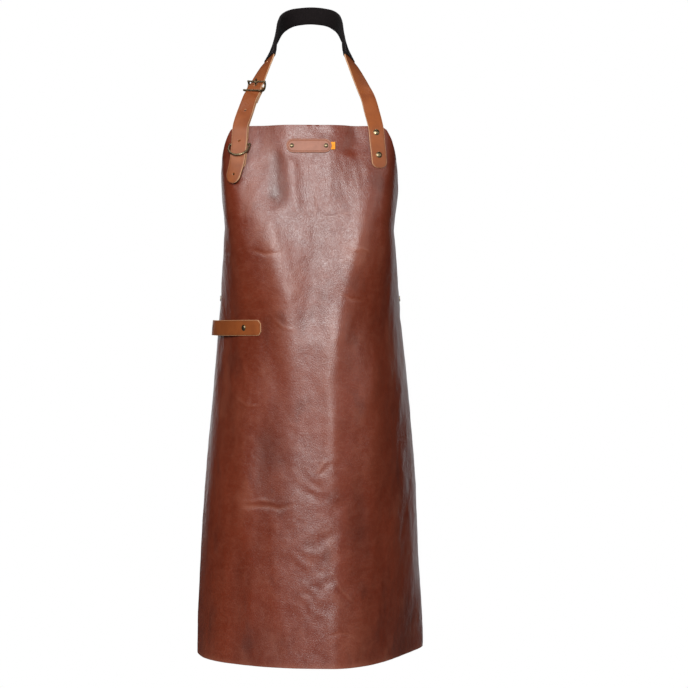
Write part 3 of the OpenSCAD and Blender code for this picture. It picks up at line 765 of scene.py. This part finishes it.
def relief(x, t, a, girth):
    """How far the hide stands out of its smooth shape, in mm: soft folds, and sharper creases."""
    front = smooth((85 - np.abs(a)) / 20)
    rise = front * lines_rise(SOFT_FOLDS, x, t, 0.30)
    wobble = 2.0 * hills(x, t, 26.0, 26.0, 5.0, 2)
    sharp = front * lines_rise(CREASES, x + wobble, t + wobble, 0.35)
    # chevrons that hang down the ridge of the skirt
    across = x - 20
    phase = (t + 0.7 * np.sqrt(across ** 2 + 150) + 24 * hills(x, t, 70.0, 90.0, 1.0, 3)) / 31.0
    zone = smooth((t - 500) / 90) * smooth((850 - t) / 90) * np.exp(-(across / 34.0) ** 2)
    broken = smooth(0.6 + hills(x, t, 50.0, 60.0, 11.0, 2))
    rise += 0.32 * zone * np.sin(2 * math.pi * phase) * broken
    rise += 2.2 * hills(girth, t, 95.0, 190.0, 2.0, 2) + 0.7 * hills(girth, t, 34.0, 52.0, 3.0, 3)
    # the hem waves a little
    hem = smooth((t - 700) / 160)
    rise += 3.0 * hem * np.sin(np.radians(a * 4.3 + 40))
    return rise, sharp


def pinned(points, radius):
    """0 at the rivets and under the patch, 1 well away from them."""
    free = np.ones(points.shape[:-1])
    for rivet in right_rivets + left_rivets + loop_rivets + waist_rivets:
        gap = np.linalg.norm(points - rivet[0], axis=-1)
        free *= 1 - np.exp(-(gap / radius) ** 4)
    off = np.abs(points - patch_frame[0])
    gap = np.hypot(np.maximum(off[..., 0] - 26, 0), np.maximum(off[..., 2] - 4, 0))
    return free * (1 - np.exp(-(gap / 17.0) ** 4))


def build_panel():
    u, v = np.meshgrid(np.linspace(-1, 1, COLUMNS + 1), np.linspace(0, 1, ROWS + 1))
    top = 5.0 * smooth((np.abs(u) - 0.95) / 0.05) ** 2          # rounded corners
    bottom = PANEL_LEN - 7.0 * smooth((np.abs(u) - 0.965) / 0.035) ** 2
    t = mix(top, bottom, v)
    a = u * wrap(t)
    base, n = skin(a, t), facing(a, t)
    girth = base[..., 0] + np.sign(a) * 0.8 * (base[..., 1] + FRONT_DEPTH)
    rise, sharp = relief(base[..., 0], t, a, girth)
    free = pinned(base, 24.0)
    middle = base + ((rise + sharp) * free)[..., None] * n
    outer, inner = middle + n * LEATHER_T / 2, middle - n * LEATHER_T / 2

    # the cut edge: two more rows of points round the border, a little proud of it
    down, right = np.gradient(middle, axis=0), np.gradient(middle, axis=1)
    j = np.concatenate([np.zeros(COLUMNS, int), np.arange(ROWS), np.full(COLUMNS, ROWS),
                        np.arange(ROWS, 0, -1)])
    i = np.concatenate([np.arange(COLUMNS), np.full(ROWS, COLUMNS),
                        np.arange(COLUMNS, 0, -1), np.zeros(ROWS, int)])
    outward = unit(np.where(((j == 0) | (j == ROWS))[:, None], np.where(j == 0, -1, 1)[:, None]
                            * down[j, i], np.where(i == 0, -1, 1)[:, None] * right[j, i]))
    border = middle[j, i] + 0.35 * outward
    lip = [border + n[j, i] * h for h in (0.55, -0.55)]

    points = np.concatenate([outer.reshape(-1, 3), inner.reshape(-1, 3)] + lip)
    m, half = COLUMNS + 1, (COLUMNS + 1) * (ROWS + 1)
    jj, ii = np.meshgrid(np.arange(ROWS), np.arange(COLUMNS), indexing="ij")
    k = (jj * m + ii).ravel()
    front = np.stack([k, k + m, k + m + 1, k + 1], 1)
    back = front[:, ::-1] + half
    rim = j * m + i
    count = len(rim)
    loops = [rim, 2 * half + np.arange(count), 2 * half + count + np.arange(count), rim + half]
    sides = [np.stack([p, np.roll(p, -1), np.roll(q, -1), q], 1) for p, q in zip(loops, loops[1:])]
    faces = np.concatenate([front, back] + sides)
    kinds = np.repeat([GRAIN, FLESH, EDGE], [len(front), len(back), 3 * count])

    worn = 0.22 * smooth(rise / 5.0) + 0.35 * smooth(np.abs(sharp) / 0.9)
    worn += 0.35 * smooth((t - PANEL_LEN + 10) / 10)
    worn += 0.25 * smooth((hills(girth, t, 60, 80, 7.0) - 0.2) / 0.6)
    # painted shade in the hollows where the hide sinks in, plus random darker patches of its own tone
    dark = 0.5 * smooth(-rise / 4.5) + 0.35 * smooth((hills(girth, t, 50, 70, 8.0) - 0.25) / 0.6)
    numbers = {key: np.concatenate([w.ravel(), w.ravel(), w[j, i], w[j, i]])
               for key, w in (("worn", worn), ("dark", dark))}
    piece = make_piece("apron_hide", points, faces, [grain, flesh, panel_edge], kinds, numbers=numbers)
    piece.data.set_sharp_from_angle(angle=math.radians(50))
    return settle(piece, "root", "panel_leather", "apron_panel")


hide = build_panel()


# ---------------------------------------- the straps and their holes
def weave(route_end, start, bar):
    """Knots of a strap from start to route_end that goes through the buckle at bar."""
    s = np.concatenate([np.arange(start, bar - 22, 9.0), np.arange(bar - 21, bar + 21.5, 2.5),
                        np.arange(bar + 24, route_end - 4, 9.0), [route_end]])
    return [(a, float(dip(a - bar))) for a in s]


def rivet_holes(frames):
    return [(f, circle(1.6), -9, 12) for f in frames]


def adjusting_holes(route, tip, in_use):
    """Five round holes, but for the one in use, which the prong has drawn into a slot."""
    holes = [circle(1.8)] * 5
    holes[in_use] = slot_outline(1.7, 3.0)
    return [(route.frame(tip + FIRST_HOLE + k * HOLE_PITCH), hole, -4, 4)
            for k, hole in enumerate(holes)]


def prong_slot(route, bar):
    """The opening in a fold, through which the prong reaches its bar."""
    return [(route.frame(bar), [(-2.1, -4.4), (2.1, -4.4), (2.1, 5), (-2.1, 5)], -9, 0)]


neck_strap = strap("neck_strap_leather", neck_route, weave(neck_route.end, 0.0, NECK_BAR),
                   ((13, 0.3), (9, 0.35)))
cut(neck_strap, rivet_holes(right_rivets) + adjusting_holes(neck_route, 0.0, NECK_IN_USE))
settle(neck_strap, "root", "strap_leather", "neck_strap")

LOW = STRAP_T / 2 + 0.15 + LEATHER_T / 2 - TAIL_RISE      # lying on the panel, under the tail
S_RING = 65.0
billet_knots = [(s, LOW) for s in (26, 34, 43, 52)]
# over the ring's straight bar
billet_knots += [(S_RING + d, LOW + h) for d, h in
                 ((-8, 0.9), (-4, 2.7), (0, 3.35), (4, 2.7), (8, 0.9), (13, 0))]
billet_knots += [(84, LOW), (95, LOW), (106, -5.4), (124, -4.6), (142, -4.1)] + fold_list(NECK_BAR)
billet = strap("buckle_strap_leather", neck_route, billet_knots, ((5, 0.75), (0, 1)), step=1.6)
cut(billet, rivet_holes(left_rivets) + prong_slot(neck_route, NECK_BAR))
settle(billet, "root", "strap_leather", "buckle_strap")

towel_loop = strap("towel_loop_leather", loop_route,
                   [(s, 0.0) for s in np.linspace(0, loop_route.end, 26)], ((6, 0.6), (6, 0.6)))
cut(towel_loop, rivet_holes(loop_rivets))
settle(towel_loop, "root", "strap_leather", "towel_loop")

UNDER = -4.2       # height of the left waist strap under the right one
left_knots = [(s, 0.0) for s in np.arange(0, 87, 8.6)] + [(95, -0.9), (105, -2.8)]
left_knots += [(s, UNDER) for s in np.arange(115, WAIST_BAR - 17, 9.0)] + fold_list(WAIST_BAR)
waist_left = strap("waist_strap_left_leather", waist_route, left_knots, ((6, 0.75), (0, 1)))
cut(waist_left, rivet_holes(waist_rivets[:2]) + prong_slot(waist_route, WAIST_BAR))
settle(waist_left, "root", "strap_leather", "waist_strap_left")

waist_right = strap("waist_strap_right_leather", waist_route,
                    weave(waist_route.end, WAIST_TIP, WAIST_BAR), ((12, 0.3), (6, 0.75)))
cut(waist_right, rivet_holes(waist_rivets[2:])
    + adjusting_holes(waist_route, WAIST_TIP, WAIST_IN_USE))
settle(waist_right, "root", "strap_leather", "waist_strap_right")


# ---------------------------------------- pieces made of rings
def ringed(name, rings, materials, indices, uv=None, numbers=None, band=False):
    """A tube through rings of points; indices says what shows from each ring to the next."""
    rings = np.array(rings)
    count, around = rings.shape[:2]
    kinds = np.repeat(indices, around).tolist() + ([] if band else [indices[0], indices[-1]])
    return make_piece(name, rings.reshape(-1, 3), tube_faces(count, around, band=band), materials,
                      kinds, uv, numbers)


def in_frame(place, x, y, z):
    """Points of a frame from their (across, along, out) parts."""
    origin, across, along, out = place
    x, y, z = np.broadcast_arrays(x, y, z)
    return origin + x[..., None] * across + y[..., None] * along + z[..., None] * out


def rounded_rectangle(half_x, half_y, radius, count=6):
    """Anticlockwise outline."""
    points = []
    for cx, cy, start in ((1, -1, -90), (1, 1, 0), (-1, 1, 90), (-1, -1, 180)):
        for k in range(count + 1):
            f = math.radians(start + 90 * k / count)
            points.append((cx * (half_x - radius) + radius * math.cos(f),
                           cy * (half_y - radius) + radius * math.sin(f)))
    return np.array(points)


# The patch is a stadium; each ring is (inset from the outline, height over its back)
PATCH_LEN, PATCH_H = 72.0, 22.5
PATCH_REST = LEATHER_T / 2 + 0.25
PATCH_RINGS = (
    (0.3, 0.0), (0.0, 0.3), (0.0, 1.5), (0.12, 1.8), (0.45, 1.98), (1.0, 2.0), (1.9, 2.0),
    (2.1, 1.88), (2.3, 1.62), (2.6, 1.62), (2.8, 1.88), (3.0, 2.0), (4.5, 2.02), (6.5, 2.04),
    (8.5, 2.05), (10.6, 2.05),
)


def build_patch():
    rings, rim = [], []
    for inset, height in PATCH_RINGS:
        r = PATCH_H / 2 - inset
        outline = rounded_rectangle((PATCH_LEN - PATCH_H) / 2 + r, r, r - 0.01, 12)[::-1]
        soft = 0.05 * np.array([noise.noise(Vector((x * 0.2, y * 0.2, 3.0))) for x, y in outline])
        rings.append(in_frame(patch_frame, outline[:, 0], outline[:, 1],
                              PATCH_REST + height + soft * (height > 1.9)))
        shaded = 1.9 < inset < 3.0 or 0 < inset < 0.9 and height > 1.6
        rim += [float(shaded)] * len(outline)
    kinds = [EDGE] * 3 + [GRAIN] * (len(rings) - 4)
    piece = ringed("label_patch_leather", rings, [natural, natural_edge], kinds, numbers={"rim": rim})
    piece.data.set_sharp_from_angle(angle=math.radians(60))
    cut(piece, [(f, circle(1.15), 0, 6) for f in patch_rivets])
    return settle(piece, "root", "patch_leather", "label_patch")


build_patch()


def build_keeper():
    place = waist_route.frame(KEEPER_AT)
    middle, half_z = UNDER / 2, (STRAP_T - UNDER) / 2 + 0.9
    half_x = STRAP_W / 2 + 0.6
    rings = []
    for grow, y in ((0, 5.7), (0, -5.7), (0.3, -6), (1.3, -6), (1.6, -5.7), (1.6, 5.7),
                    (1.3, 6), (0.3, 6)):
        outline = rounded_rectangle(half_x + grow, half_z + grow, 0.8 + grow)
        rings.append(in_frame(place, outline[:, 0], np.full(len(outline), float(y)),
                              middle + outline[:, 1]))
    kinds = [FLESH, EDGE, EDGE, GRAIN, GRAIN, GRAIN, EDGE, EDGE]
    piece = ringed("waist_keeper_band", rings, [tan, tan_edge, tan_flesh], kinds, band=True)
    piece.data.set_sharp_from_angle(angle=math.radians(60))
    return settle(piece, "keeper", "strap_leather", "waist_keeper")


build_keeper()

# ---------------------------------------- the neck pad
PAD_W, PAD_T, PAD_LEN = 29.0, 7.0, 332.0
PAD_START, PAD_END = NAPE - PAD_LEN / 2, NAPE + PAD_LEN / 2
PAD_HEM = 7.0      # from each end of the pad to the stitches across it


def super_oval(half_w, half_t, exponent, count):
    f = 2 * math.pi * (np.arange(count) + 0.5) / count
    c, s = np.cos(f), np.sin(f)
    return np.stack([half_w * np.sign(c) * np.abs(c) ** (2 / exponent),
                     half_t * np.sign(s) * np.abs(s) ** (2 / exponent)], axis=1)


def build_pad():
    full = super_oval(PAD_W / 2, PAD_T / 2, 3.4, 44)
    tight = super_oval(STRAP_W / 2 + 0.6, STRAP_T / 2 + 0.7, 9.0, 44)
    across_by = np.concatenate([[0], np.cumsum(np.linalg.norm(np.diff(full, axis=0), axis=1))])
    # pairs (s, share of the full section): along the outside, then back along the cavity
    mouth = ((0.5, 0.35), (0.1, 0.65), (0.2, 0.88), (1.0, 0.98))
    profile = [(PAD_START + d, share) for d, share in mouth]
    profile += [(s, 1.0) for s in np.linspace(PAD_START + 2.5, PAD_END - 2.5, 128)]
    profile += [(PAD_END - d, share) for d, share in reversed(mouth)]
    profile += [(s, 0.0) for s in np.linspace(PAD_END - 2, PAD_START + 2, 60)]
    rings, uv = [], []
    for s, share in profile:
        centre, across, _, out = neck_route.frame(s)
        section = mix(tight, full, share)
        if share > 0:
            from_hem = min(s - PAD_START, PAD_END - s) - PAD_HEM
            hem = math.exp(-(from_hem / 1.3) ** 2)
            gathers = smooth(1 - from_hem / 26.0)
            angle = np.arctan2(section[:, 1] * 4, section[:, 0])
            lump = np.array([noise.fractal(Vector((s * 0.045, math.cos(b) * 1.3, math.sin(b) * 1.3)),
                                           0.8, 2.0, 3) for b in angle])
            pleat = np.array([noise.noise(Vector((s * 0.11, b * 2.6, 9.0))) for b in angle])
            puff = share * (0.30 * lump - 0.35 * hem + 0.42 * gathers * pleat - 0.1)
            section = section * (1 + puff[:, None] * np.array([0.05, 0.32]))
        rings.append(centre + section[:, :1] * across + section[:, 1:] * out)
        uv += [(s, w) for w in across_by]
    piece = ringed("neck_pad_sleeve", rings, [black_weave], [0] * len(rings), uv=uv, band=True)
    return settle(piece, "root", "pad_fabric", "neck_pad")


build_pad()


def stitch_places():
    """Each stitch's middle, the way it runs and the way it faces."""
    places = []
    for side in (-1, 1):
        for s in np.arange(PAD_START + 3, PAD_END - 2.5, 4.6):
            centre, across, along, out = neck_route.frame(s)
            places.append((centre + side * 11.6 * across + 2.85 * out, along, out))
    for s in (PAD_START + PAD_HEM, PAD_END - PAD_HEM):
        centre, across, _, out = neck_route.frame(s)
        for x in np.linspace(-9.2, 9.2, 5):
            places.append((centre + x * across + 3.05 * out, across, out))
    return places


def build_stitching():
    """Short rounded stitches, in a row along each edge of the pad and across each end."""
    length, radius, sides = 3.2, 0.33, 6
    # (share of the length, share of the radius, lift)
    profile = ((-0.5, 0.25, -0.30), (-0.42, 0.8, 0.0), (-0.15, 1.0, 0.16), (0.15, 1.0, 0.16),
               (0.42, 0.8, 0.0), (0.5, 0.25, -0.30))
    points, faces = [], []
    for origin, direction, out in stitch_places():
        side = np.cross(out, direction)
        faces += tube_faces(len(profile), sides, len(points))
        for along, thick, lift in profile:
            for f in np.arange(sides) * 2 * math.pi / sides:
                points.append(origin + along * length * direction + lift * out
                              + radius * thick * (math.sin(f) * side + math.cos(f) * out))
    piece = make_piece("neck_pad_stitching", points, faces, [black_thread])
    return settle(piece, "root", "pad_fabric")


build_stitching()


# ---------------------------------------- the folded ribbon tab
def build_tab():
    start, end = PATCH_LEN / 2 - 5.5, PATCH_LEN / 2 + 5.1
    low, turn = LEATHER_T / 2 + 0.55, 0.29
    line = [(x, low) for x in np.linspace(start, end, 6)]
    line += [(end + 1.5 * turn * math.sin(f), low + turn - turn * math.cos(f))
             for f in np.radians([30, 60, 90, 120, 150])]
    line += [(x, low + 2 * turn) for x in np.linspace(end, start, 6)]
    line = np.array(line)
    direction = unit(np.gradient(line, axis=0))
    outline = rounded_rectangle(6.0, 0.2, 0.15, 2)[::-1]
    length = np.concatenate([[0], np.cumsum(np.linalg.norm(np.diff(line, axis=0), axis=1))])
    rings, uv = [], []
    for (x, z), (dx, dz), s in zip(line, direction, length):
        rings.append(in_frame(patch_frame, x - dz * outline[:, 1], outline[:, 0],
                              z + dx * outline[:, 1]))
        uv += [(s, y) for y in outline[:, 0]]
    piece = ringed("side_tab_ribbon", rings, [amber_weave], [0] * (len(rings) - 1), uv=uv)
    piece.data.set_sharp_from_angle(angle=math.radians(40))
    return settle(piece, "root", "tab_ribbon", "side_tab")


build_tab()


def build_tacks():
    """Two short bars of close thread stitches across the towel loop."""
    centre, across, along, out = loop_route.frame(loop_route.end - 62)
    rings, sides = 46, 8
    points, faces = [], []
    for offset in (-1.8, 1.8):
        faces += tube_faces(rings, sides, len(points))
        for k in range(rings):
            x = mix(-4.5, 4.5, k / (rings - 1))
            swell = 1 + 0.16 * math.sin(2 * math.pi * x / 0.78)
            swell *= 0.55 if k in (0, rings - 1) else 1
            for f in np.arange(sides) * 2 * math.pi / sides:
                points.append(centre + x * across + (offset + 0.6 * swell * math.sin(f)) * along
                              + (STRAP_T / 2 + 0.1 + 0.36 * swell * math.cos(f)) * out)
    piece = make_piece("bar_tack_threads", points, faces, [dark_thread])
    return settle(piece, "root", "thread", "bar_tacks")


build_tacks()

# ---------------------------------------- hardware keeps its CAD shape
for name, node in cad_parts.items():
    if not node.hide_render:
        node.data.materials.clear()
        node.data.materials.append(brass)

# ---------------------------------------- light and floor
world = bpy.data.worlds.new("studio")
scene.world = world
world.use_nodes = True
nodes, links = world.node_tree.nodes, world.node_tree.links
seen = nodes["Background"]
seen.inputs["Color"].default_value = (1, 1, 1, 1)
seen.inputs["Strength"].default_value = 1.0
lighting = nodes.new("ShaderNodeBackground")
lighting.inputs["Color"].default_value = (0.96, 0.98, 1.0, 1)
lighting.inputs["Strength"].default_value = 0.03
path, choice = nodes.new("ShaderNodeLightPath"), nodes.new("ShaderNodeMixShader")
links.new(path.outputs["Is Camera Ray"], choice.inputs["Fac"])
links.new(lighting.outputs[0], choice.inputs[1])
links.new(seen.outputs[0], choice.inputs[2])
links.new(choice.outputs[0], nodes["World Output"].inputs["Surface"])


def softbox(name, place, target, size, watts, colour=(1, 1, 1)):
    data = bpy.data.lights.new(name, "AREA")
    data.shape = "RECTANGLE"
    data.size, data.size_y = size
    data.energy = watts
    data.color = colour
    light = bpy.data.objects.new(name, data)
    light.location = place
    light.rotation_euler = (Vector(target) - Vector(place)).to_track_quat("-Z", "Y").to_euler()
    scene.collection.objects.link(light)


softbox("key", (-0.20, -3.7, 0.40), (0.0, -0.15, -0.40), (1.15, 1.25), 155, (1.0, 0.99, 0.985))
softbox("left_fill", (-2.5, -2.9, 0.9), (0.0, -0.1, -0.6), (1.6, 2.0), 58, (1.0, 0.96, 0.92))
softbox("right_fill", (2.7, -2.0, 0.5), (0.0, -0.1, -0.6), (1.6, 2.0), 26, (1.0, 0.96, 0.92))
softbox("right_rim", (1.05, 2.5, -0.5), (0.15, 0.0, -0.6), (0.5, 2.0), 5, (0.95, 0.98, 1.0))
softbox("left_rim", (-1.05, 2.5, -0.2), (-0.15, 0.0, -0.5), (0.5, 1.6), 5, (0.95, 0.98, 1.0))
softbox("top_fill", (0.0, 0.6, 2.2), (0.0, 0.0, -0.5), (1.6, 1.6), 24)

scene.view_settings.view_transform = "Standard"


def build_floor():
    """A pale disc that fades out, well below the hem."""
    points = [(x, y, -1350.0) for x, y in circle(1600.0, 96)]
    m = Shader("pale_floor", 0.7)
    m.colour((0.86, 0.86, 0.86))
    gap = m.node("ShaderNodeVectorMath", operation="LENGTH")
    m.put(gap.inputs[0], m.stretch((1.0, 1.0, 0.0)))
    m.put(m.bsdf.inputs["Alpha"], m.ranged(gap.outputs["Value"], 0.45, 1.1, 1.0, 0.0))
    make_piece("floor", points, [range(96)], [m.material])


build_floor()
